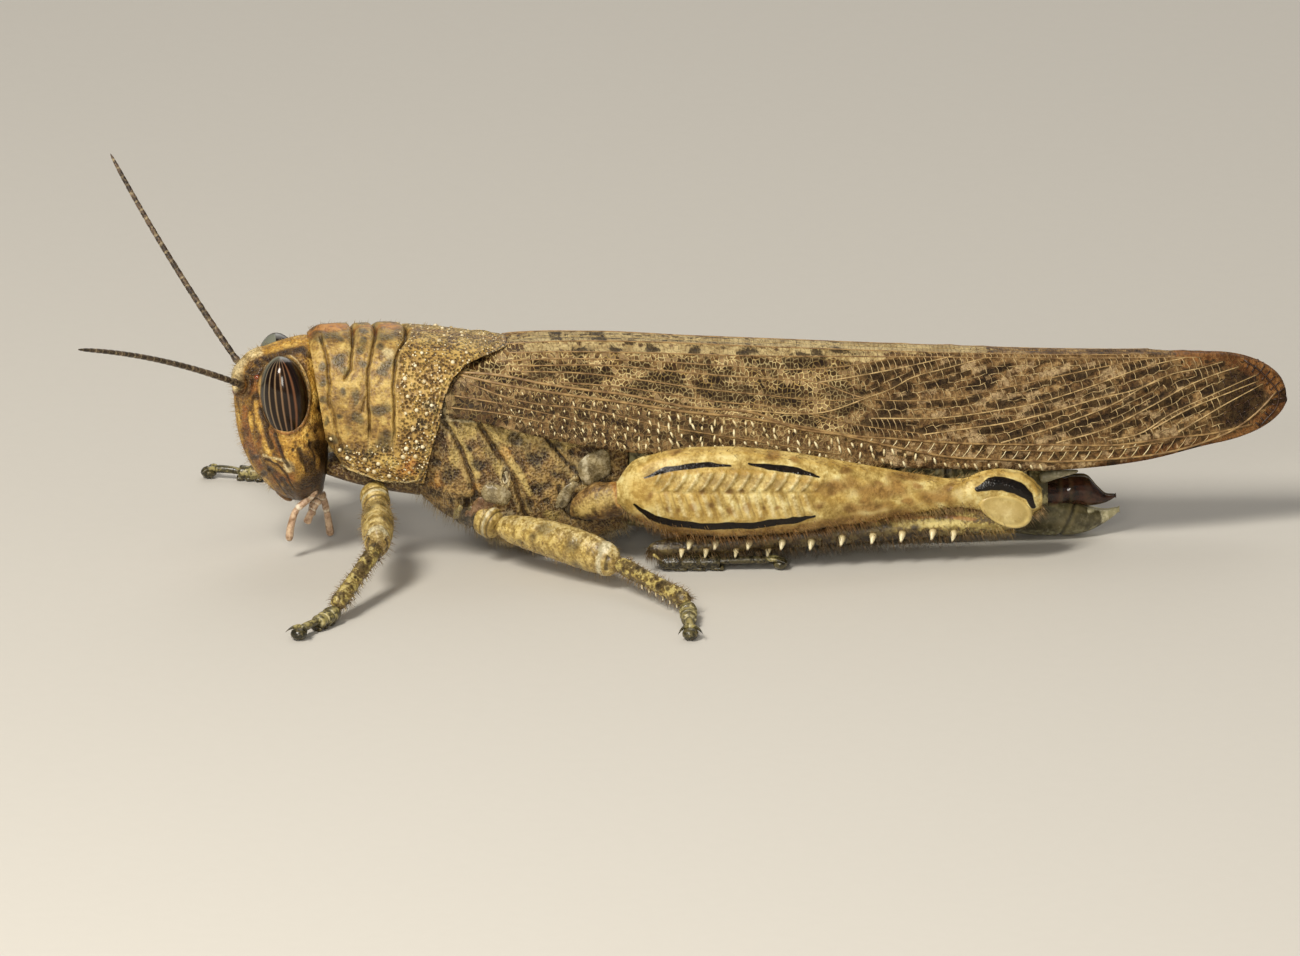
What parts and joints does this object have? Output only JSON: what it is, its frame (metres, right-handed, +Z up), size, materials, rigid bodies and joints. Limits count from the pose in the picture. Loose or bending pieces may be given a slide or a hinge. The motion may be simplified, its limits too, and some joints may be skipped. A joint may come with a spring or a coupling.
{
  "type": "locust",
  "caption": "Life-size adult female Egyptian locust at rest: feet and belly low on the floor, wings folded like a roof, feelers raised.",
  "frame": {"origin": "middle of the bounding box on the floor the feet stand on", "axes": "-X is the way the head looks, +X to the wing tips, +Y the animal's right side, +Z up"},
  "size_m": [0.084, 0.0482, 0.027],
  "materials": {
    "shell": "ochre horn plates of head and thorax, dull and finely pitted",
    "shield": "golden brown horn of the pronotum, pitted, with pale tubercles",
    "underside": "softer olive horn of breast and abdomen, dull and hairy",
    "eye": "glossy dark brown with cream upright stripes",
    "feeler": "dark grey-brown, dull",
    "palp": "pale pinkish cream, satin",
    "wing": "leathery fore wing, brown with tan veins, satin",
    "membrane": "thin smoky hind wing membrane, glossy",
    "thigh": "straw yellow horn, satin",
    "shin": "olive yellow horn, satin, hairy",
    "foot": "dark olive horn, satin",
    "valve": "dark brown horn, glossy"
  },
  "bodies": {
    "root": {"abdomen": "underside", "antenna_left": "feeler", "antenna_right": "feeler", "breast": "underside", "cercus_left": "underside", "cercus_right": "underside", "eye_left": "eye", "eye_right": "eye", "foreleg_coxa_left": "shell", "foreleg_coxa_right": "shell", "foreleg_femur_left": "thigh", "foreleg_femur_right": "thigh", "foreleg_tarsus_left": "foot", "foreleg_tarsus_right": "foot", "foreleg_tibia_left": "shin", "foreleg_tibia_right": "shin", "head": "shell", "hindleg_coxa_left": "shell", "hindleg_coxa_right": "shell", "hindleg_femur_left": "thigh", "hindleg_femur_right": "thigh", "hindleg_tarsus_left": "foot", "hindleg_tarsus_right": "foot", "hindleg_tibia_left": "shin", "hindleg_tibia_right": "shin", "hindwing_left": "membrane", "hindwing_right": "membrane", "labrum": "shell", "midleg_coxa_left": "shell", "midleg_coxa_right": "shell", "midleg_femur_left": "thigh", "midleg_femur_right": "thigh", "midleg_tarsus_left": "foot", "midleg_tarsus_right": "foot", "midleg_tibia_left": "shin", "midleg_tibia_right": "shin", "ovipositor_lower": "valve", "ovipositor_upper": "valve", "palp_labial_left": "palp", "palp_labial_right": "palp", "palp_maxillary_left": "palp", "palp_maxillary_right": "palp", "pronotum": "shield", "tegmen_left": "wing", "tegmen_right": "wing", "thorax": "shell"}
  },
  "joints": []
}
